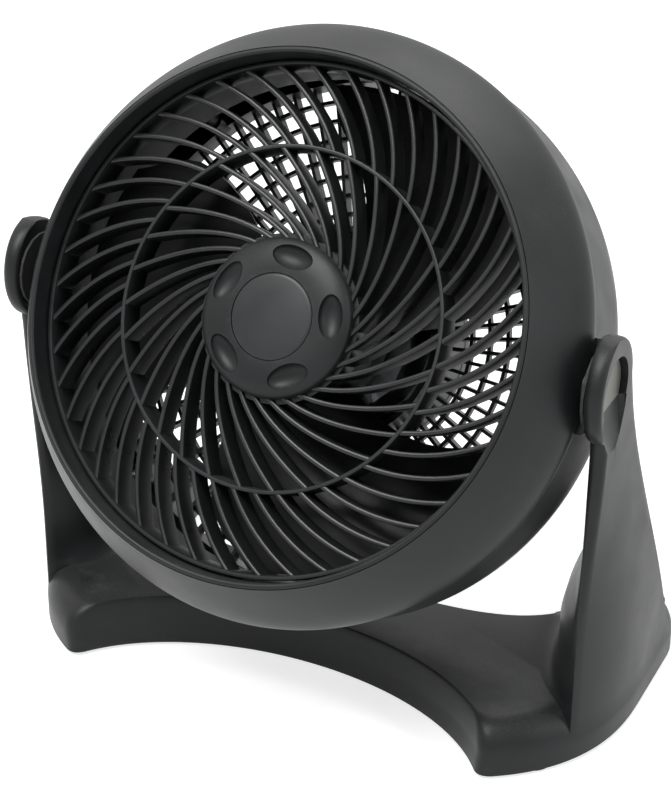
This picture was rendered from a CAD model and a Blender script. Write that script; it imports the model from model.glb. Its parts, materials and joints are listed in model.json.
# %% [markdown]
# # A table air circulator, dressed for the camera
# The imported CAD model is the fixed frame: it says where every piece is and how it moves. Blender adds what the
# solids leave out: round edges, close-set grille vanes, moulded grain, polish and dust.
# The frame is loaded first, because every piece that follows rides on one of its bodies.

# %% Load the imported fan
import json
import math

import bmesh
import bpy
from mathutils import Matrix, Vector


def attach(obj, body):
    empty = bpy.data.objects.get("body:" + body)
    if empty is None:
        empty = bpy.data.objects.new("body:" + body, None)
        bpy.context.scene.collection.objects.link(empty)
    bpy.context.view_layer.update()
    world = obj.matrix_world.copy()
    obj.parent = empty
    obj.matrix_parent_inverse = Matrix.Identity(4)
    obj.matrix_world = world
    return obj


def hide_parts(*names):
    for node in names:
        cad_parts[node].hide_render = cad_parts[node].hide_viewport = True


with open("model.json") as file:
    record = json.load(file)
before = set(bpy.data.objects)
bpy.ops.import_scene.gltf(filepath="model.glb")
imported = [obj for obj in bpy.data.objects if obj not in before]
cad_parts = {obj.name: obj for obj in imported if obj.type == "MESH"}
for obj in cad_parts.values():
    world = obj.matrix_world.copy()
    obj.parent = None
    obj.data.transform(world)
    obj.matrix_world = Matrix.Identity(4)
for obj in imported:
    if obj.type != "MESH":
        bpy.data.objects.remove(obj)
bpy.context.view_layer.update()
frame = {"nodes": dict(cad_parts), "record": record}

# %% [markdown]
# ## Two frames to work in
# The head of the fan is tilted back on the table, which makes its round shapes awkward to write down. A piece
# could be modelled upright and tilted afterwards, or its mesh could be written in slanted numbers.
# Here each head piece is written upright, in millimetres from the pivot, and its finished mesh is tilted once.

# %% The head's frame and the stand's frame
MM = 0.001
REST_TILT = math.radians(29.2)
tilt_joint = next(j for j in frame["record"]["behaviour"]["joints"] if j["name"] == "head_tilt")
PIVOT = Vector(tilt_joint["pos_m"])
PIVOT_HEIGHT = PIVOT.z / MM
IN_HEAD = Matrix.Translation(PIVOT) @ Matrix.Rotation(-REST_TILT, 4, "X")
IN_STAND = Matrix.Translation((0, PIVOT.y, 0))
print("pivot at", [round(v, 4) for v in PIVOT])

# %% [markdown]
# ## The camera
# The picture looks down on the fan from its front right. Wide lenses swell whatever is near, so a product is
# shot from a little way off with a longer lens, and the frame is slid over it instead of turning the camera.

# %% Camera
CAMERA_AZIMUTH = math.radians(26.62)
CAMERA_ELEVATION = math.radians(26.31)
CAMERA_DISTANCE = 0.75
CAMERA_TARGET = Vector((0, PIVOT.y, 0.1408))
CAMERA_LENS = 94.6
CAMERA_SHIFT = (0.0417, -0.0653)

away = Vector((math.sin(CAMERA_AZIMUTH) * math.cos(CAMERA_ELEVATION),
               -math.cos(CAMERA_AZIMUTH) * math.cos(CAMERA_ELEVATION),
               math.sin(CAMERA_ELEVATION)))
right = Vector((math.cos(CAMERA_AZIMUTH), math.sin(CAMERA_AZIMUTH), 0))
turn = Matrix((right, away.cross(right), away)).transposed().to_4x4()
camera = bpy.data.objects.new("camera", bpy.data.cameras.new("camera"))
camera.matrix_world = Matrix.Translation(CAMERA_TARGET + away * CAMERA_DISTANCE) @ turn
camera.data.lens = CAMERA_LENS
camera.data.shift_x, camera.data.shift_y = CAMERA_SHIFT
bpy.context.scene.collection.objects.link(camera)
bpy.context.scene.camera = camera
print("camera at", [round(v, 3) for v in camera.location])

# %% [markdown]
# ## Meshes from a few numbers
# Nearly every piece of the head was turned or moulded round the fan's axis. Such a shape could be made with a
# Screw modifier on a curve; writing the rings out directly keeps the point count and the seam in our hands.
# A shape here is a pair of lists, points in millimetres and faces, so that several can be put in one mesh.


# %% Turned, lofted and joined shapes
def turned(profile, segments=160, at=(0, 0)):
    """Sweeps a closed outline of (radius, depth) pairs round the Y axis."""
    points, faces = [], []
    count = len(profile)
    for step in range(segments):
        angle = 2 * math.pi * step / segments
        points += [(at[0] + r * math.cos(angle), depth, at[1] + r * math.sin(angle)) for r, depth in profile]
    for step in range(segments):
        here, there = step * count, (step + 1) % segments * count
        for k in range(count):
            after = (k + 1) % count
            faces.append((here + k, here + after, there + after, there + k))
    return points, faces


def lofted(rows):
    """A skin through closed rows of points, with its two ends capped."""
    count = len(rows[0])
    points = [point for row in rows for point in row]
    faces = []
    for row in range(len(rows) - 1):
        for k in range(count):
            a, b = row * count + k, row * count + (k + 1) % count
            faces.append((a, b, b + count, a + count))
    faces.append(tuple(range(count)))
    faces.append(tuple(range((len(rows) - 1) * count, len(rows) * count)))
    return points, faces


def together(*shapes):
    points, faces = [], []
    for more_points, more_faces in shapes:
        start = len(points)
        points += more_points
        faces += [tuple(start + k for k in face) for face in more_faces]
    return points, faces


def spread(count, start, end):
    return [start + (end - start) * k / (count - 1) for k in range(count)]


def around(radius, degrees):
    return radius * math.cos(math.radians(degrees)), radius * math.sin(math.radians(degrees))


def rod(radius, start, end, at=(0, 0), segments=48):
    return turned([(0, start), (radius, start), (radius, end), (0, end)], segments, at)


def tube(inner, outer, start, end, at=(0, 0), segments=160):
    return turned([(inner, start), (outer, start), (outer, end), (inner, end)], segments, at)


print("shape helpers ready")

# %% [markdown]
# ## From a shape to an object
# A mesh needs clean normals before light can fall on it well. Faces that meet at a shallow angle are shaded as
# one surface, and sharper ones keep their crease. No moulded edge is truly sharp, so a small bevel follows.
# Holes are cut with exact booleans, and the result is kept as plain mesh so that no cutter stays in the scene.


# %% Objects, bevels and cuts
def make(name, shape, place=IN_HEAD, crease=35):
    points, faces = shape
    mesh = bpy.data.meshes.new(name)
    mesh.from_pydata([Vector(point) * MM for point in points], [], faces)
    work = bmesh.new()
    work.from_mesh(mesh)
    bmesh.ops.remove_doubles(work, verts=work.verts, dist=1e-7)
    bmesh.ops.dissolve_degenerate(work, edges=work.edges, dist=1e-7)
    bmesh.ops.recalc_face_normals(work, faces=work.faces)
    work.to_mesh(mesh)
    work.free()
    mesh.transform(place)
    shade(mesh, crease)
    made = bpy.data.objects.new(name, mesh)
    bpy.context.scene.collection.objects.link(made)
    return made


def shade(mesh, crease):
    mesh.shade_smooth()
    mesh.set_sharp_from_angle(angle=math.radians(crease))


def soften(piece, width, segments=2, angle=38):
    bevel = piece.modifiers.new("soft edges", "BEVEL")
    bevel.width = width * MM
    bevel.segments = segments
    bevel.limit_method = "ANGLE"
    bevel.angle_limit = math.radians(angle)
    bevel.harden_normals = True


def carve(piece, shapes, operation="DIFFERENCE", place=IN_HEAD, crease=35):
    """Cuts shapes out of a piece, or adds them to it, one after another."""
    for shape in shapes:
        cutter = make("cutter", shape, place)
        cut = piece.modifiers.new("cut", "BOOLEAN")
        cut.operation = operation
        cut.solver = "EXACT"
        cut.object = cutter
        bpy.context.view_layer.update()
        ready = piece.evaluated_get(bpy.context.evaluated_depsgraph_get())
        mesh = bpy.data.meshes.new_from_object(ready)
        piece.modifiers.clear()
        old = piece.data
        piece.data = mesh
        bpy.data.meshes.remove(old)
        bpy.data.objects.remove(cutter)
    piece.data.name = piece.name
    shade(piece.data, crease)


def seat(piece, body, slot, *nodes):
    """Fixes a piece to the body that carries it, in place of the plain solids."""
    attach(piece, body)
    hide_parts(*nodes)
    print(piece.name, "rides on", body, "with", len(piece.data.polygons), "faces")


# %% [markdown]
# ## The front bezel
# The bezel is one moulding: a bead round the mouth, a fine groove behind it, a wide flare that rolls back to
# the widest ridge, and a thin duct inside that guides the air. On the real one it comes out of a polished tool
# in one shot. It is turned from one outline, with many steps on the flare, because the light runs along it.

# %% Front bezel
LIP_RADIUS, LIP_DEPTH = 91, -32
LIP_OUTER = LIP_RADIUS + 2.0
GROOVE = 0.6
BEZEL_RADIUS, BEZEL_WALL = 107.4, 2.0
RIDGE_DEPTH = -5
DUCT_REAR = 14
BEAD_ROUND = 1.1
FLARE_WEIGHT = 1.5


def flare(inset, steps):
    """Nearly straight from the groove, then rolled over into the ridge: a conic through three corners."""
    start = Vector((LIP_OUTER + GROOVE - 0.25, LIP_DEPTH + GROOVE + inset))
    bend = Vector((BEZEL_RADIUS - inset + 0.9, RIDGE_DEPTH - 2.5 + inset * 0.4))
    end = Vector((BEZEL_RADIUS - inset, RIDGE_DEPTH + 3.5))
    points = []
    for t in spread(steps, 0, 1):
        a, b, c = (1 - t) ** 2, 2 * FLARE_WEIGHT * t * (1 - t), t * t
        point = (start * a + bend * b + end * c) / (a + b + c)
        points.append((point.x, point.y))
    return points


bead = [(LIP_RADIUS + BEAD_ROUND - BEAD_ROUND * math.cos(math.radians(a)),
         LIP_DEPTH + BEAD_ROUND - BEAD_ROUND * math.sin(math.radians(a))) for a in spread(9, 0, 150)]
bezel_outline = ([(LIP_RADIUS, DUCT_REAR)] + bead
                 + [(LIP_OUTER, LIP_DEPTH + 1.2), (LIP_OUTER, LIP_DEPTH + GROOVE + 1.6)]
                 + [(LIP_OUTER + 0.5, LIP_DEPTH + GROOVE + 1.6)]
                 + flare(0, 36)
                 + [(BEZEL_RADIUS - 0.2, -1), (BEZEL_RADIUS - 0.8, 0), (BEZEL_RADIUS - BEZEL_WALL, 0)]
                 + flare(BEZEL_WALL, 14)[::-1]
                 + [(LIP_RADIUS + 2, LIP_DEPTH + 5.2), (LIP_RADIUS + 2, DUCT_REAR)])
bezel = make("bezel", turned(bezel_outline, 240))
seat(bezel, "head", "charcoal_plastic", "front_bezel")

# %% [markdown]
# ## The spiral grille
# The guard is what one sees first: thirty vanes sweep out from the hub to a middle ring, and forty-five closer
# ones go on from it to the rim. Each stands on edge like a slat, so it stops fingers but lets the air through.
# A vane could be a curve with a bevel object; a short loft gives a rounded front edge and a thinner rear one.

# %% Spiral grille
GRILLE_FRONT = -22
VANE_LENGTH = 10.5
MID_RING = 60.2
RIM_RADIUS = 90.3
HUB_RADIUS = 28.2
INNER_VANES, INNER_START, INNER_SWEEP = 30, 131.9, 696
OUTER_VANES, OUTER_START, OUTER_SWEEP = 45, 5.9, 0.697
VANE_SECTION = [(-0.88, 0.75), (-0.72, 0.25), (-0.4, 0.02), (0, -0.05), (0.4, 0.02), (0.72, 0.25), (0.88, 0.75),
                (0.62, VANE_LENGTH), (-0.62, VANE_LENGTH)]


def vane(angle_at, inner, outer, steps):
    radii = spread(steps + 1, inner, outer)
    line = [Vector(around(r, angle_at(r))) for r in radii]
    rows = []
    for k, point in enumerate(line):
        along = (line[min(k + 1, steps)] - line[max(k - 1, 0)]).normalized()
        across = Vector((-along.y, along.x))
        rows.append([(*(point + across * side), GRILLE_FRONT + depth) for side, depth in VANE_SECTION])
    return lofted([[(x, depth, z) for x, z, depth in row] for row in rows])


def inner_angle(radius):
    return INNER_START - INNER_SWEEP / math.sqrt(radius)


def outer_angle(radius):
    return OUTER_START + OUTER_SWEEP * (radius - 64)


def ring(middle, wall, front, rear):
    half = wall / 2
    return turned([(middle - half, front + 0.6), (middle - half + 0.3, front + 0.1), (middle, front),
                   (middle + half - 0.3, front + 0.1), (middle + half, front + 0.6),
                   (middle + half, rear), (middle - half, rear)])


inner_vanes = [vane(lambda r, k=k: inner_angle(r) + 360 / INNER_VANES * k, HUB_RADIUS - 0.6, MID_RING, 14)
               for k in range(INNER_VANES)]
outer_vanes = [vane(lambda r, k=k: outer_angle(r) + 360 / OUTER_VANES * k, MID_RING, RIM_RADIUS - 1, 10)
               for k in range(OUTER_VANES)]
hub_plate = turned([(0, -20.4), (29.8, -20.4), (29.8, -11.1), (28.2, -11.1), (28.2, -18), (0, -18)])
grille = make("spiral_grille", together(
    hub_plate, ring(MID_RING, 1.7, GRILLE_FRONT - 0.3, GRILLE_FRONT + 11.2),
    ring(RIM_RADIUS - 0.9, 1.8, GRILLE_FRONT - 1, GRILLE_FRONT + 11), *inner_vanes, *outer_vanes))
seat(grille, "head", "grille_plastic", "front_grille")

# %% [markdown]
# ## The hub cap
# A shallow dome screws down over the roots of the vanes. Five finger scoops let one turn it off by hand, and a
# round seat in the middle holds a plain disc. The scoops are cut with stretched spheres, as a ball-nosed
# cutter would leave them, which gives each one its dark inner wall and its bright outer dish.

# %% Hub cap and its disc
HUB_REAR = -20.7
HUB_FRONT = HUB_REAR - 6.4
DISC_RADIUS = 15
SCOOPS, SCOOP_START, SCOOP_PLACE, SCOOP_LEAN = 5, 83, 21.6, 14
SCOOP_HALF_WIDTH, SCOOP_DEPTH, SCOOP_HALF_LENGTH = 4.3, 3.4, 7.8


def hub_crown(steps):
    flat = DISC_RADIUS + 1
    return [(flat + (HUB_RADIUS - flat) * math.cos(math.radians(a)),
             HUB_REAR - 2 - 4.4 * math.sin(math.radians(a))) for a in spread(steps, 0, 90)]


def scoop(angle):
    ball = [(SCOOP_HALF_WIDTH * math.sin(math.radians(a)), SCOOP_DEPTH * math.cos(math.radians(a)))
            for a in spread(20, 0, 180)]
    points, faces = turned(ball, 48)
    place = (Matrix.Rotation(-math.radians(angle), 4, "Y")
             @ Matrix.Translation((SCOOP_PLACE, HUB_FRONT + 0.9, 0))
             @ Matrix.Rotation(math.radians(SCOOP_LEAN), 4, "Z")
             @ Matrix.Diagonal((1, 1, SCOOP_HALF_LENGTH / SCOOP_HALF_WIDTH, 1)))
    return [tuple(place @ Vector(point)) for point in points], faces


cap = make("hub_dome", turned([(0, HUB_REAR), (HUB_RADIUS, HUB_REAR)] + hub_crown(18) + [(0, HUB_FRONT)], 120))
disc_seat = rod(DISC_RADIUS + 0.3, HUB_FRONT - 1, HUB_FRONT + 1.1, segments=120)
carve(cap, [scoop(SCOOP_START + 360 / SCOOPS * k) for k in range(SCOOPS)] + [disc_seat])
soften(cap, 0.25)
seat(cap, "head", "charcoal_plastic", "hub_cap")

disc_rear = HUB_FRONT + 0.8
disc = make("hub_disc", turned([(0, disc_rear), (DISC_RADIUS, disc_rear), (DISC_RADIUS, HUB_FRONT + 0.1),
                                (DISC_RADIUS - 0.3, HUB_FRONT - 0.15), (DISC_RADIUS - 1, HUB_FRONT - 0.3),
                                (0, HUB_FRONT - 0.45)], 120))
seat(disc, "head", "badge_plastic", "hub_badge")

# %% [markdown]
# ## The rear housing
# Behind the bezel a drum runs back over a soft shoulder to a fine grille of radial ribs and rings, which carries
# the round motor pod. It is one moulding, so it is one piece here too. The shells are laid into each other
# instead of being fused, because nobody sees where a rib enters the wall and the mesh stays light.

# %% Rear housing
DRUM_FRONT = 0.3
DRUM_RADIUS, DRUM_REAR_RADIUS, DRUM_REAR = 106, 97, 47
DRUM_WALL = 2.2
POD_RADIUS = 40
REAR_RIBS, REAR_RINGS = 68, 7
BOSS_ROOT, BOSS_FACE, BOSS_RADIUS = 98, 108.8, 16.5


def shoulder(inset, steps):
    shapes = []
    for a in spread(steps, 0, 90):
        c, s = math.cos(math.radians(a)), math.sin(math.radians(a))
        shapes.append((DRUM_REAR_RADIUS + 9 * c - inset * c, 28 + 19 * s - inset * s))
    return shapes


def rear_depth(radius):
    share = (DRUM_REAR_RADIUS - radius) / (DRUM_REAR_RADIUS - POD_RADIUS)
    return DRUM_REAR + 5 * math.sin(share * math.pi / 2)


def rear_rib(angle, half=0.65, deep=6):
    rows = []
    for radius in spread(8, POD_RADIUS - 1, DRUM_REAR_RADIUS - 1):
        rear = rear_depth(radius) - 0.2
        section = [(-half, rear - deep), (half, rear - deep), (half, rear - 0.4), (0, rear), (-half, rear - 0.4)]
        turn_to = Matrix.Rotation(-math.radians(angle), 3, "Y")
        rows.append([tuple(turn_to @ Vector((radius, depth, side))) for side, depth in section])
    return lofted(rows)


def rear_ring(k):
    radius = POD_RADIUS + (DRUM_REAR_RADIUS - POD_RADIUS) * (k + 1) / (REAR_RINGS + 1)
    rear = rear_depth(radius) - 0.6
    return turned([(radius - 0.7, rear - 3.2), (radius + 0.7, rear - 3.2), (radius + 0.7, rear - 0.3),
                   (radius, rear), (radius - 0.7, rear - 0.3)])


def boss(side):
    arc = [around(BOSS_RADIUS, a) for a in spread(33, -88.6, 88.6)]
    return lofted([[(side * x, max(y - inset, 0.35), z * (1 - inset / BOSS_RADIUS)) for y, z in arc]
                   for x, inset in [(BOSS_ROOT, 0), (BOSS_FACE - 0.6, 0), (BOSS_FACE, 0.6)]])


def sleeve(side):
    return lofted([[(side * x, *around(radius, a)) for a in spread(49, 0, 360)[:-1]]
                   for x, radius in [(BOSS_ROOT, 7.2), (BOSS_FACE - 0.4, 7.2), (BOSS_FACE, 6.8)]])


drum = turned([(105.5, -4.7), (105.5, DRUM_FRONT), (DRUM_RADIUS - 0.4, DRUM_FRONT),
               (DRUM_RADIUS, DRUM_FRONT + 0.4)]
              + shoulder(0, 24)
              + [(DRUM_REAR_RADIUS - DRUM_WALL, DRUM_REAR), (DRUM_REAR_RADIUS - DRUM_WALL, DRUM_REAR - 10)]
              + shoulder(DRUM_WALL, 12)[:9][::-1]
              + [(DRUM_RADIUS - DRUM_WALL, 3.3), (103.9, 1.3), (103.9, -4.7)], 200)
pod = turned([(POD_RADIUS - 2, 31), (POD_RADIUS - 0.4, 31), (POD_RADIUS, 31.4), (POD_RADIUS, 61.6),
              (POD_RADIUS - 0.4, 62), (POD_RADIUS - 2, 62)])
pod_floor = rod(POD_RADIUS - 1, 58.5, 60.5, segments=96)
motor_posts = [tube(1.9, 3.6, 52.3, 59.5, around(29, 45 + 90 * k), 24) for k in range(4)]
cover_posts = [tube(1.9, 3.6, 59.5, 66.3, around(30, 90 + 120 * k), 24) for k in range(3)]
screw_posts = [tube(3.5, 4.6, 31, 41, around(98.6, 45 + 90 * k), 24) for k in range(4)]
housing = make("rear_shell", together(
    drum, pod, pod_floor, *motor_posts, *cover_posts, *screw_posts,
    *[rear_rib(360 / REAR_RIBS * k) for k in range(REAR_RIBS)], *[rear_ring(k) for k in range(REAR_RINGS)],
    *[boss(side) for side in (-1, 1)], *[sleeve(side) for side in (-1, 1)]))
seat(housing, "head", "charcoal_plastic", "rear_housing")

# %% [markdown]
# ## The fan blade
# Three broad blades grow out of a cup that hides the front of the motor. Each one twists and flattens towards
# its tip, so that all of it moves the air at about the same speed. A surface of two shares, along the span and
# along the chord, gives that twist in one formula, and a thickness that fades to the edges closes it.

# %% Fan blade
BLADES, BLADE_START = 3, 40
BLADE_HUB, BLADE_TIP, BLADE_HALF_THICKNESS = 27, 88.4, 0.9


def eased(value):
    value = min(max(value, 0), 1)
    return value * value * (3 - 2 * value)


def blade_point(span, chord, lift, turn_by):
    radius = BLADE_HUB - 1 + (BLADE_TIP - BLADE_HUB + 1) * span
    sweep = 68 + 16 * span
    rounding = 1 - 0.16 * eased((span - 0.72) / 0.28) * (2 * chord - 1) ** 4
    x, z = around(radius, turn_by + 26 * span ** 1.6 + sweep * rounding * (chord - 0.5))
    depth = 6 + 13 * (1 - 0.38 * span) * (2 * chord - 1) - 3.2 * math.sin(chord * math.pi)
    return x, depth + lift, z


def blade(turn_by):
    rows = []
    for span in spread(20, 0, 1):
        edges = []
        for side in (-1, 1):
            chords = spread(25, 0, 1)[::-side]
            edges += [blade_point(span, c, side * BLADE_HALF_THICKNESS * (0.45 + 0.55 * math.sin(c * math.pi)),
                                  turn_by) for c in chords]
        rows.append(edges)
    return lofted(rows)


cup = turned([(0, -8), (22, -8), (24, -7.8), (25.8, -6.9), (26.8, -5.4), (27, -4), (27, 18), (24.6, 18),
              (24.6, -4.6), (23, -5.6), (0, -5.6)], 96)
cup_boss = tube(3.3, 7, -7, 16, segments=48)
blades = [blade(BLADE_START + 360 / BLADES * k) for k in range(BLADES)]
fan = make("blade_wheel", together(cup, cup_boss, *blades))
seat(fan, "rotor", "blade_plastic", "fan_blade")

# %% [markdown]
# ## The rear cover and the knob
# A domed cover closes the motor pod. The speed knob turns on a shaft through its middle, and its three screws
# sit in deep round wells. The wells are cut through the dome and lined with short tubes.

# %% Rear cover and speed knob
COVER_FRONT = 62.3
COVER_REAR = COVER_FRONT + 13
SCREW_WELLS = [around(30, 90 + 120 * k) for k in range(3)]


def cover_dome(inset, steps):
    return [(17 + (POD_RADIUS - inset - 17) * math.cos(math.radians(a)),
             COVER_FRONT + 4 + (9 - inset) * math.sin(math.radians(a))) for a in spread(steps, 0, 90)]


cover = make("pod_cover", turned([(POD_RADIUS - 2, COVER_FRONT), (POD_RADIUS - 0.3, COVER_FRONT),
                                  (POD_RADIUS, COVER_FRONT + 0.3)] + cover_dome(0, 24)
                                 + [(0, COVER_REAR), (0, COVER_REAR - 2)] + cover_dome(2, 12)[::-1], 120))
carve(cover, [rod(3.5, COVER_FRONT, COVER_REAR + 1, at) for at in SCREW_WELLS]
      + [rod(4.9, COVER_FRONT, COVER_REAR + 1), rod(6.9, COVER_FRONT, COVER_REAR + 1, (0, -27))])
wells = make("cover_wells", together(*[tube(3.5, 4.5, 66.7, 72.4, at, 48) for at in SCREW_WELLS]))
soften(cover, 0.3)
seat(cover, "head", "charcoal_plastic", "rear_cover")
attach(wells, "head")

knob_front = COVER_REAR + 1.6
knob_rear = knob_front + 12
knob_outline = [(0, knob_rear), (10.6, knob_rear), (11.6, knob_rear - 0.3), (12.4, knob_rear - 1),
                (13, knob_rear - 2), (13.5, knob_rear - 3.4), (14.7, knob_front), (12.7, knob_front),
                (11.5, knob_rear - 3), (0, knob_rear - 3)]
knob = make("knob_cap", turned(knob_outline, 96))
carve(knob, [rod(1.5, knob_front - 1, knob_rear + 1, around(15.1, 15 + 60 * k), 24) for k in range(6)])
pointer = ([(x, y, z) for x in (-1.2, 1.2) for y in (knob_rear - 0.6, knob_rear + 0.7) for z in (3, 10.9)],
           [(0, 1, 3, 2), (4, 6, 7, 5), (0, 4, 5, 1), (2, 3, 7, 6), (0, 2, 6, 4), (1, 5, 7, 3)])
carve(knob, [pointer, tube(2.9, 4.6, knob_front + 0.4, knob_rear - 2, segments=48)], "UNION")
soften(knob, 0.3)
seat(knob, "knob", "charcoal_plastic", "speed_knob")

# %% [markdown]
# ## The stand
# The stand is one hollow moulding. Its base is a swept arc with two pointed toes in front and two feet behind,
# and two tall arms rise from it to the pivots, broad at the root and thinning to a round head.
# The plan of the base is written once and lofted with a growing inset, which rounds its shoulders as it rises.

# %% Plan of the base
HALF_WIDTH, WIDEST_Y, FRONT_REACH, OUTLINE_POWER = 122.6, 40, 86.5, 2.5
REAR_Y, REAR_CORNER = 97, 23
TOP, BAND, FLOOR = 21, 9, 1
TOE_ROUNDING = 5


def notch_y(x, inset):
    share = min(x / (91.3 + inset), 1)
    return -52 + (58.5 + inset) * math.sqrt(1 - share * share)


def outline_y(x, inset):
    share = min(x / (HALF_WIDTH - inset), 1)
    return WIDEST_Y - (FRONT_REACH - inset) * (1 - share ** OUTLINE_POWER) ** (1 / OUTLINE_POWER)


def toe_x(outer_inset, notch_inset):
    low, high = 45, 91.3 + notch_inset
    for _ in range(40):
        middle = (low + high) / 2
        if notch_y(middle, notch_inset) > outline_y(middle, outer_inset):
            low = middle
        else:
            high = middle
    return low


def resampled(line, count):
    """The same open line with its points evenly spaced."""
    lengths = [0]
    for a, b in zip(line, line[1:]):
        lengths.append(lengths[-1] + (b - a).length)
    result = []
    for want in spread(count, 0, lengths[-1]):
        k = max(i for i, length in enumerate(lengths[:-1]) if length <= want + 1e-9)
        share = (want - lengths[k]) / max(lengths[k + 1] - lengths[k], 1e-9)
        result.append(line[k].lerp(line[k + 1], share))
    return result


def rounded_toe(front, side, tip):
    front = [p for p in front if (p - tip).length > TOE_ROUNDING]
    side = [p for p in side if (p - tip).length > TOE_ROUNDING]
    a, b = front[-1], side[0]
    arc = [(a.lerp(tip, t)).lerp(tip.lerp(b, t), t) for t in spread(9, 0, 1)][1:-1]
    return resampled(front, 30), arc, resampled(side, 40)


def base_plan(outer_inset, notch_inset, z):
    tip_x = toe_x(outer_inset, notch_inset)
    tip = Vector((tip_x, outline_y(tip_x, outer_inset)))
    front = [Vector((x, notch_y(x, notch_inset))) for x in spread(120, 0, tip_x)]
    half = HALF_WIDTH - outer_inset
    start = math.asin((tip_x / half) ** (OUTLINE_POWER / 2))
    side = [Vector((half * math.sin(a) ** (2 / OUTLINE_POWER),
                    WIDEST_Y - (FRONT_REACH - outer_inset) * abs(math.cos(a)) ** (2 / OUTLINE_POWER)))
            for a in spread(200, start, math.pi / 2)]
    front, arc, side = rounded_toe(front, side, tip)
    rear_y = REAR_Y - outer_inset
    rounding = REAR_CORNER - 1.2 * outer_inset
    corner = [Vector((half - rounding * (1 - math.cos(a)), rear_y - rounding * (1 - math.sin(a))))
              for a in spread(12, 0, math.pi / 2)]
    wide, deep = 95 + notch_inset, 88 + notch_inset
    end = math.acos(((130 - rear_y) / deep) ** 2)
    rear = [Vector((wide * math.sin(a) ** 0.5, 130 - deep * math.cos(a) ** 0.5)) for a in spread(30, end, 0)]
    half_plan = front + arc + side + corner + rear
    whole = half_plan + [Vector((-p.x, p.y)) for p in half_plan[1:-1][::-1]]
    return [(p.x, p.y, z) for p in whole]


def base_shell():
    rows = [base_plan(0.5, 0.5, FLOOR), base_plan(0, 0, FLOOR + 0.6), base_plan(0, 0.4, BAND - 2)]
    for a in spread(12, 0, 90):
        c, s = math.cos(math.radians(a)), math.sin(math.radians(a))
        rows.append(base_plan(11 * (1 - c), 0.8 + 2.4 * (1 - c), BAND + (TOP - BAND) * s))
    return lofted(rows)


print("base plan has", len(base_plan(0, 0, 0)), "points")

# %% [markdown]
# ## The arms
# An arm is cut level by level: at each height it has a front and a rear edge, seen from the side, and an outer
# and an inner face. Its round head is a little narrower in front. The inner face swells towards the base in a
# soft fillet, where the load is greatest.

# %% Arm sections
ARM_INNER, ARM_OUTER, ARM_TOP = 110.4, 116.8, 19
ARM_FRONT, ARM_HEAD_SQUEEZE = -6, 0.84


def arm_front(z):
    above = z - PIVOT_HEIGHT
    disc_edge = -ARM_HEAD_SQUEEZE * math.sqrt(max(ARM_TOP ** 2 - above ** 2, 0))
    return disc_edge if above > 0 else min(disc_edge, ARM_FRONT)


def arm_rear(z, inset):
    above = z - PIVOT_HEIGHT
    radius = ARM_TOP - inset
    if above > 0:
        return math.sqrt(max(radius ** 2 - above ** 2, 0))
    fallen = -above / (PIVOT_HEIGHT - FLOOR)
    return radius + (REAR_Y - 9 - ARM_TOP) * (0.86 * fallen ** 1.15 + 0.14 * fallen ** 8)


def outline_x(y):
    if y > WIDEST_Y:
        into = max(y - (REAR_Y - REAR_CORNER), 0)
        return HALF_WIDTH - REAR_CORNER + math.sqrt(max(REAR_CORNER ** 2 - into ** 2, 0))
    share = (WIDEST_Y - y) / FRONT_REACH
    return HALF_WIDTH * (1 - share ** OUTLINE_POWER) ** (1 / OUTLINE_POWER)


def arm_outer_x(y, z):
    straight = eased((z - 40) / (PIVOT_HEIGHT - 52))
    return (outline_x(y) - 0.2) * (1 - straight) + ARM_OUTER * straight


def rear_notch_x(y):
    share = min(max((130 - y) / 88, 0), 1)
    return 95 * (1 - share ** 4) ** 0.25


def arm_inner_x(y, z, fillet_radius):
    rearward = 1 - math.exp(-max(y + 6, 0) / 22)
    thickening = 21 * eased((95 - z) / 50)
    into = min(max((TOP + fillet_radius - z) / (fillet_radius or 1), 0), 1)
    fillet = fillet_radius * (1 - math.sqrt(1 - into ** 2))
    return max(ARM_INNER - rearward * (thickening + fillet), rear_notch_x(y) + 4)


def arm_section(z, inset=0.0, front=None, fillet_radius=11, edge=2.2):
    front = arm_front(z) if front is None else front
    rear = arm_rear(z, inset)
    edge = min(edge, (rear - front) / 3)

    def between(y, share):
        inner = arm_inner_x(y, z, fillet_radius) + inset
        outer = max(arm_outer_x(y, z) - inset, inner + 1.2)
        return (inner + (outer - inner) * share, y, z)

    depths = [front + edge + (rear - front - 2 * edge) * t ** 1.5 for t in spread(22, 0, 1)]
    nose = [between(front + edge * (1 - math.cos(a)), 0.5 + 0.5 * math.sin(a))
            for a in spread(9, -math.pi / 2, math.pi / 2)][1:-1]
    tail = [between(rear - edge * (1 - math.cos(a)), 0.5 - 0.5 * math.sin(a))
            for a in spread(9, -math.pi / 2, math.pi / 2)][1:-1]
    return nose + [between(y, 1) for y in depths] + tail + [between(y, 0) for y in depths[::-1]]


def mirrored(shape):
    points, faces = shape
    return [(-x, y, z) for x, y, z in points], faces


def arm():
    low = [BAND + 0.5] + spread(8, TOP - 2, TOP + 11) + spread(10, 36, 128)
    disc_levels = [PIVOT_HEIGHT + ARM_TOP * math.sin(math.radians(a)) for a in spread(22, -66, 88.5)]
    return lofted([arm_section(z) for z in low + disc_levels])


print("arm rises to", round(PIVOT_HEIGHT + ARM_TOP, 1), "mm")

# %% [markdown]
# ## Hollowing the stand
# Thick plastic sinks as it cools, so the moulding is a shell that is open underneath, stiffened by three ribs
# and by posts over the feet. In each arm a scoop shows the head of the pivot pin and runs out in a soft ramp.

# %% Stand shell
WALL = 2.4
PAD_PLACES = [(-98, -10), (98, -10), (-109, 82), (109, 82)]
POCKET_RADIUS, RAMP_START, RAMP_END = 12.4, 5.6, 25


def upright(radius, low, high, at, segments=40):
    ring_points = [around(radius, 360 / segments * k) for k in range(segments)]
    return lofted([[(at[0] + x, at[1] + y, z) for x, y in ring_points] for z in (low, high)])


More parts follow.
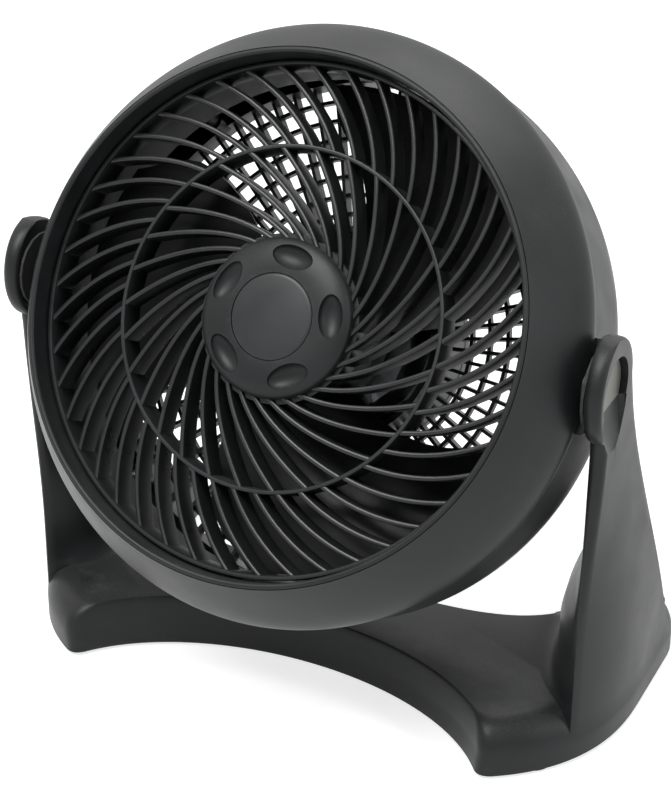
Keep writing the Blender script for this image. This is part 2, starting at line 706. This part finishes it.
def slab(x0, x1, y0, y1, z0, z1):
    outline = [(x0, y0), (x1, y0), (x1, y1), (x0, y1)]
    return lofted([[(x, y, z) for x, y in outline] for z in (z0, z1)])


def arm_hollow():
    return lofted([arm_section(z, WALL, 3, 0, 1) for z in (0, TOP, TOP + 11, 50, 84)])


def base_hollow():
    return lofted([base_plan(WALL, WALL, 0), base_plan(WALL, WALL + 0.8, BAND),
                   base_plan(WALL + 6, WALL + 1.4, TOP - WALL - 1.5),
                   base_plan(WALL + 11, WALL + 2.4, TOP - WALL)])


def pin_pocket():
    rim = [around(POCKET_RADIUS, a) for a in spread(40, -28.4, 208.4)]
    return lofted([[(x, y, PIVOT_HEIGHT + z) for y, z in rim] for x in (ARM_OUTER - 4, 135)])


def pocket_ramp():
    ramp = []
    for t in spread(14, 0, 1):
        drop = RAMP_START + (RAMP_END - RAMP_START) * t
        half = POCKET_RADIUS * math.sqrt(max(1 - (drop / RAMP_END) ** 2, 0.0004))
        floor_x = ARM_OUTER - 3.2 * (1 - eased(t)) + 0.05
        z = PIVOT_HEIGHT - drop
        sides = [(floor_x + 2.5, -half), (floor_x + 0.6, -half * 0.86), (floor_x, -half * 0.6),
                 (floor_x, half * 0.6), (floor_x + 0.6, half * 0.86), (floor_x + 2.5, half),
                 (135, half), (135, -half)]
        ramp.append([(x, y, z) for x, y in sides])
    return lofted(ramp)


def crosswise(radius, start, end, z):
    ring_points = [around(radius, 9 * k) for k in range(40)]
    return lofted([[(x, y, z + up) for y, up in ring_points] for x in (start, end)])


stand = make("stand_moulding", base_shell(), IN_STAND)
# The front posts stop low, because the shoulder of the toes rounds in above them.
posts = [upright(8.3, FLOOR, BAND if at[1] < 0 else TOP - 2, at) for at in PAD_PLACES]
ribs = [slab(x - 0.9, x + 0.9, 8.5 if x == 0 else 3, 40.5, FLOOR + 2, TOP - 1.5) for x in (-44, 0, 44)]
pockets = [pin_pocket(), pocket_ramp(), mirrored(pin_pocket()), mirrored(pocket_ramp())]
pin_hole = crosswise(5.3, -150, 150, PIVOT_HEIGHT)
pad_seats = [upright(6.3, -1, 2.9, at) for at in PAD_PLACES]
carve(stand, [arm(), mirrored(arm())], "UNION", IN_STAND)
carve(stand, [base_hollow(), arm_hollow(), mirrored(arm_hollow())], "DIFFERENCE", IN_STAND)
carve(stand, posts + ribs, "UNION", IN_STAND)
carve(stand, [*pockets, pin_hole, *pad_seats], "DIFFERENCE", IN_STAND, crease=30)
soften(stand, 0.5, angle=50)
seat(stand, "stand", "charcoal_plastic", "stand")

# %% [markdown]
# ## Finishes as node groups
# Moulded plastic is never one flat colour. The tool leaves a fine grain, the surface scatters light a little
# unevenly where hands and cloths have passed, and dust settles on whatever faces up. These effects are shared,
# so each is a node group that gives a mask or a height, and every material mixes them in its own measure.


# %% Node helpers
def wire(tree, kind, inputs=None, **settings):
    """Adds a node, sets its properties, and fills its sockets with values or links."""
    node = tree.nodes.new(kind)
    for key, value in settings.items():
        setattr(node, key, value)
    for key, value in (inputs or {}).items():
        if isinstance(value, bpy.types.NodeSocket):
            tree.links.new(value, node.inputs[key])
        else:
            node.inputs[key].default_value = value
    return node


def new_group(name, inputs, outputs):
    group = bpy.data.node_groups.new(name, "ShaderNodeTree")
    for socket, value in inputs.items():
        made = group.interface.new_socket(socket, in_out="INPUT", socket_type="NodeSocketFloat")
        made.default_value = value
    for socket in outputs:
        group.interface.new_socket(socket, in_out="OUTPUT", socket_type="NodeSocketFloat")
    return group, group.nodes.new("NodeGroupInput"), group.nodes.new("NodeGroupOutput")


def ranged(tree, value, low, high, to_low, to_high):
    return wire(tree, "ShaderNodeMapRange", {"Value": value, "From Min": low, "From Max": high,
                                             "To Min": to_low, "To Max": to_high}).outputs["Result"]


def multiplied(tree, a, b):
    return wire(tree, "ShaderNodeMath", {0: a, 1: b}, operation="MULTIPLY", use_clamp=True).outputs[0]


print("node helpers ready")

# %% [markdown]
# Grain is two noises on the object's own coordinates: a fine one for the tool's texture, and a broad one for
# the slow waviness of a cooled surface. Object coordinates are metres, so a scale of 2000 is half a millimetre.

# %% Moulded grain
grain_group, entry, exit_ = new_group("moulded_grain", {"Fineness": 2000, "Waviness": 60}, ["Height", "Tone"])
spot = wire(grain_group, "ShaderNodeTexCoord").outputs["Object"]
fine = wire(grain_group, "ShaderNodeTexNoise", {"Vector": spot, "Scale": entry.outputs["Fineness"], "Detail": 2.0})
broad = wire(grain_group, "ShaderNodeTexNoise", {"Vector": spot, "Scale": entry.outputs["Waviness"], "Detail": 3.0})
grain_group.links.new(fine.outputs["Fac"], exit_.inputs["Height"])
grain_group.links.new(broad.outputs["Fac"], exit_.inputs["Tone"])
print("grain group:", [s.name for s in grain_group.interface.items_tree])

# %% [markdown]
# Wear shows first on outside edges, where Cycles' pointiness is high, broken up by a patchy noise. Dust needs a
# surface that looks up: the height of its normal, again broken up, gives a soft drift that fades on the sides.

# %% Edge wear and settled dust
wear_group, entry, exit_ = new_group("edge_wear", {"Sharpness": 0.53, "Patchiness": 180}, ["Mask"])
spot = wire(wear_group, "ShaderNodeTexCoord").outputs["Object"]
edge = wire(wear_group, "ShaderNodeNewGeometry").outputs["Pointiness"]
patch = wire(wear_group, "ShaderNodeTexNoise", {"Vector": spot, "Scale": entry.outputs["Patchiness"], "Detail": 4.0})
over = ranged(wear_group, edge, entry.outputs["Sharpness"], 0.62, 0.0, 1.0)
broken = ranged(wear_group, patch.outputs["Fac"], 0.42, 0.66, 0.0, 1.0)
wear_group.links.new(multiplied(wear_group, over, broken), exit_.inputs["Mask"])

dust_group, entry, exit_ = new_group("settled_dust", {"Patch Size": 45}, ["Mask"])
spot = wire(dust_group, "ShaderNodeTexCoord").outputs["Object"]
facing = wire(dust_group, "ShaderNodeSeparateXYZ", {0: wire(dust_group, "ShaderNodeNewGeometry").outputs["Normal"]})
upward = ranged(dust_group, facing.outputs["Z"], 0.35, 1.0, 0.0, 1.0)
drift = wire(dust_group, "ShaderNodeTexNoise", {"Vector": spot, "Scale": entry.outputs["Patch Size"], "Detail": 5.0})
specks = wire(dust_group, "ShaderNodeTexNoise", {"Vector": spot, "Scale": 1400.0, "Detail": 1.0})
loose = multiplied(dust_group, ranged(dust_group, drift.outputs["Fac"], 0.35, 0.75, 0.2, 1.0),
                   ranged(dust_group, specks.outputs["Fac"], 0.4, 0.7, 0.3, 1.0))
dust_group.links.new(multiplied(dust_group, upward, loose), exit_.inputs["Mask"])
print("wear and dust groups ready")

# %% [markdown]
# ## The plastics
# All of them share one recipe. The base colour drifts a little with the grain's tone, edges polish to a lighter
# grey, dust lifts the colour and dulls the shine, and the fine grain goes through a Bump node to the normal.
# Sheen is how strongly the surface mirrors its room: low on the satin bezel and stand, higher on the smoother
# grille. The blades are the darkest, because one sees them in the shade of the duct.


# %% Plastic recipe
DUST_COLOUR = (0.30, 0.29, 0.27)


def mixed(tree, below, above, share):
    """Mixes two colours. The first is three numbers, or the output of an earlier mix."""
    start = below if isinstance(below, bpy.types.NodeSocket) else (*below, 1)
    return wire(tree, "ShaderNodeMix", {0: share, 6: start, 7: (*above, 1)}, data_type="RGBA").outputs[2]


def new_material(name):
    material = bpy.data.materials.new(name)
    material.use_nodes = True
    tree = material.node_tree
    return material, tree, tree.nodes["Principled BSDF"]


def plastic(name, colour, roughness, grain_depth, fineness=2000, dust=0.12, wear=0.35, lighter=1.35, sheen=0.5):
    material, tree, surface = new_material(name)
    surface.inputs["Specular IOR Level"].default_value = sheen
    grain = wire(tree, "ShaderNodeGroup", {"Fineness": fineness}, node_tree=grain_group)
    worn = wire(tree, "ShaderNodeGroup", node_tree=wear_group).outputs["Mask"]
    dusty = wire(tree, "ShaderNodeGroup", node_tree=dust_group).outputs["Mask"]
    body = mixed(tree, [c * 0.9 for c in colour], [c * lighter for c in colour],
                 ranged(tree, grain.outputs["Tone"], 0.3, 0.7, 0.0, 1.0))
    polished = mixed(tree, body, [c * 2.2 + 0.01 for c in colour], multiplied(tree, worn, wear))
    top = mixed(tree, polished, DUST_COLOUR, multiplied(tree, dusty, dust))
    tree.links.new(top, surface.inputs["Base Color"])
    satin = ranged(tree, grain.outputs["Tone"], 0.3, 0.7, roughness - 0.04, roughness + 0.05)
    dulled = wire(tree, "ShaderNodeMath", {0: multiplied(tree, dusty, dust), 1: satin},
                  operation="ADD", use_clamp=True)
    tree.links.new(dulled.outputs[0], surface.inputs["Roughness"])
    bump = wire(tree, "ShaderNodeBump", {"Strength": 0.5, "Distance": grain_depth * MM,
                                         "Height": grain.outputs["Height"]})
    tree.links.new(bump.outputs["Normal"], surface.inputs["Normal"])
    return material


finishes = {
    "charcoal_plastic": plastic("charcoal satin plastic", (0.012, 0.013, 0.0135), 0.4, 0.03, sheen=0.22),
    "grille_plastic": plastic("grille plastic", (0.011, 0.012, 0.0125), 0.3, 0.012, 2600,
                              dust=0.05, sheen=0.35),
    "blade_plastic": plastic("blade plastic", (0.005, 0.005, 0.0055), 0.3, 0.006, 3000,
                             dust=0.05, wear=0.2, sheen=0.2),
    "badge_plastic": plastic("bare disc plastic", (0.020, 0.021, 0.022), 0.36, 0.008, 2600,
                             dust=0.05, sheen=0.3),
    "pad_rubber": plastic("pad rubber", (0.010, 0.010, 0.010), 0.78, 0.06, 1200, dust=0.25, wear=0.1),
    "switch_plastic": plastic("switch body plastic", (0.72, 0.70, 0.64), 0.55, 0.02, 1800,
                              wear=0.1, lighter=1.05),
    "acetal": plastic("grey-green acetal", (0.075, 0.077, 0.062), 0.4, 0.01, 2200,
                      dust=0.04, wear=0.1, lighter=1.1),
}
print(len(finishes), "plastics and rubbers")

# %% [markdown]
# ## The metals
# Inside the pod are plated screws, sheet-steel brackets, a stack of laminations, enamelled copper and oiled
# bronze bearings. A metal gets its look from roughness more than from colour, so each has its own pattern:
# drawn streaks, zinc spangle, the lines between the sheets, the turns of wire, and the pores of sintered metal.


# %% Metal recipe
def metal(name, dark, bright, roughness, pattern, depth):
    material, tree, surface = new_material(name)
    spot_on = wire(tree, "ShaderNodeTexCoord").outputs["Object"]
    along_axis = wire(tree, "ShaderNodeMapping", {"Vector": spot_on, "Rotation": (REST_TILT, 0, 0)}).outputs[0]
    height = pattern(tree, along_axis)
    tree.links.new(mixed(tree, dark, bright, height), surface.inputs["Base Color"])
    smudge = wire(tree, "ShaderNodeTexNoise", {"Vector": spot_on, "Scale": 220.0, "Detail": 4.0}).outputs["Fac"]
    tree.links.new(ranged(tree, smudge, 0.3, 0.7, roughness - 0.08, roughness + 0.1), surface.inputs["Roughness"])
    bump = wire(tree, "ShaderNodeBump", {"Strength": 0.6, "Distance": depth * MM, "Height": height})
    tree.links.new(bump.outputs["Normal"], surface.inputs["Normal"])
    surface.inputs["Metallic"].default_value = 1.0
    return material


def streaks(tree, where):
    drawn = wire(tree, "ShaderNodeMapping", {"Vector": where, "Scale": (1.0, 14.0, 1.0)}).outputs[0]
    return wire(tree, "ShaderNodeTexNoise", {"Vector": drawn, "Scale": 500.0, "Detail": 3.0}).outputs["Fac"]


def spangle(tree, where):
    cells = wire(tree, "ShaderNodeTexVoronoi", {"Vector": where, "Scale": 320.0})
    return wire(tree, "ShaderNodeSeparateColor", {0: cells.outputs["Color"]}).outputs[0]


def sheet_lines(tree, where):
    lines = wire(tree, "ShaderNodeTexWave", {"Vector": where, "Scale": 320.0, "Distortion": 0.3},
                 wave_type="BANDS", bands_direction="Y")
    return lines.outputs["Fac"]


def wire_turns(tree, where):
    turns = wire(tree, "ShaderNodeTexWave", {"Vector": where, "Scale": 700.0, "Distortion": 0.8},
                 wave_type="BANDS", bands_direction="DIAGONAL")
    return turns.outputs["Fac"]


def pores(tree, where):
    return wire(tree, "ShaderNodeTexNoise", {"Vector": where, "Scale": 3500.0, "Detail": 2.0}).outputs["Fac"]


finishes["bright_steel"] = metal("bright zinc steel", (0.42, 0.43, 0.45), (0.62, 0.63, 0.65), 0.3, streaks, 0.01)
finishes["zinc_plate"] = metal("zinc plate", (0.34, 0.36, 0.37), (0.50, 0.52, 0.53), 0.42, spangle, 0.01)
finishes["laminated_steel"] = metal("laminated steel", (0.14, 0.14, 0.15), (0.36, 0.37, 0.38), 0.5, sheet_lines, 0.08)
finishes["copper_wire"] = metal("enamelled copper", (0.20, 0.05, 0.015), (0.55, 0.18, 0.05), 0.35, wire_turns, 0.15)
finishes["sintered_bronze"] = metal("sintered bronze", (0.22, 0.13, 0.04), (0.42, 0.26, 0.09), 0.5, pores, 0.03)
print(len(finishes), "finishes in all")

# %% [markdown]
# ## Dressing every piece
# The record names a finish for each node of the frame, and each new piece said above which one it takes.
# Small solids that stay as they are, such as screws and pads, also get a fine bevel, so their edges catch light.

# %% Put the finishes on
SMALL_BEVEL = 0.15
slot_of_node = {part["node"]: part["material_slot"] for part in frame["record"]["subparts"]}
new_pieces = {bezel: "charcoal_plastic", grille: "grille_plastic", cap: "charcoal_plastic", disc: "badge_plastic",
              housing: "charcoal_plastic", fan: "blade_plastic", cover: "charcoal_plastic",
              wells: "charcoal_plastic", knob: "charcoal_plastic", stand: "charcoal_plastic"}
for piece, slot_name in new_pieces.items():
    piece.data.materials.clear()
    piece.data.materials.append(finishes[slot_name])
for node, node_object in frame["nodes"].items():
    for place in node_object.material_slots:
        place.material = finishes[slot_of_node[node]]
    soften(node_object, SMALL_BEVEL)
print("dressed", len(new_pieces), "new pieces and", len(frame["nodes"]), "nodes")

# %% [markdown]
# ## Floor, world and lights
# A pale floor, a big soft lamp overhead and two smaller ones are all that a product shot needs. The lamps are
# kept at a plain level, so colours come out as written. The background turns white by a glow of its own, which
# only the rays that show it can see: straight ones, and those that come by way of a shiny surface or a glass.

# %% Floor and world
FLOOR_SIZE = 3000
FLOOR_GREY, FLOOR_GLOW = 0.62, 0.75
ROOM_LIGHT = 0.15


def sees_background(tree):
    """One for the rays that show the background, straight or reflected, and nothing for those that light."""
    rays = wire(tree, "ShaderNodeLightPath")
    seen = wire(tree, "ShaderNodeMath", {0: rays.outputs["Is Camera Ray"], 1: rays.outputs["Is Glossy Ray"]},
                operation="MAXIMUM").outputs[0]
    return wire(tree, "ShaderNodeMath", {0: seen, 1: rays.outputs["Is Transmission Ray"]},
                operation="MAXIMUM").outputs[0]


floor_slab = slab(-FLOOR_SIZE, FLOOR_SIZE, -FLOOR_SIZE, FLOOR_SIZE, -2, 0)
floor = make("floor", floor_slab, Matrix.Translation((0, 0, -0.0002)))
floor_material, tree, surface = new_material("pale floor")
surface.inputs["Base Color"].default_value = (FLOOR_GREY, FLOOR_GREY, FLOOR_GREY, 1)
surface.inputs["Roughness"].default_value = 0.7
surface.inputs["Emission Color"].default_value = (1, 1, 1, 1)
tree.links.new(multiplied(tree, sees_background(tree), FLOOR_GLOW), surface.inputs["Emission Strength"])
floor.data.materials.append(floor_material)

world = bpy.data.worlds.new("studio")
bpy.context.scene.world = world
world.use_nodes = True
tree = world.node_tree
strength = ranged(tree, sees_background(tree), 0.0, 1.0, ROOM_LIGHT, 1.0)
tree.links.new(strength, tree.nodes["Background"].inputs["Strength"])
tree.nodes["Background"].inputs["Color"].default_value = (1, 1, 1, 1)
bpy.context.scene.view_settings.view_transform = "Standard"
print("floor and world ready, floor grey", FLOOR_GREY)


# %% [markdown]
# The big lamp hangs overhead and a little in front, so that the top of the base and the hub catch most of it and
# the sides fall off into dark. A strip behind draws a line along the drum, and a small lamp on the right lights
# the arm. Spots would be simpler, but their hard edges would print the vanes on the blades.

# %% Soft lamps
def lamp(name, place, size, power):
    light = bpy.data.objects.new(name, bpy.data.lights.new(name, "AREA"))
    light.data.shape = "RECTANGLE"
    light.data.size, light.data.size_y = size
    light.data.energy = power
    aim = (Vector((0, 0, 0.12)) - Vector(place)).to_track_quat("-Z", "Y").to_matrix().to_4x4()
    light.matrix_world = Matrix.Translation(place) @ aim
    bpy.context.scene.collection.objects.link(light)
    return light


lamp("overhead softbox", (-0.2, -0.65, 1.5), (1.0, 1.0), 31)
lamp("right softbox", (1.4, 0.0, 0.7), (0.5, 0.9), 5)
lamp("rear strip", (0.2, 0.9, 1.2), (1.0, 0.4), 6)
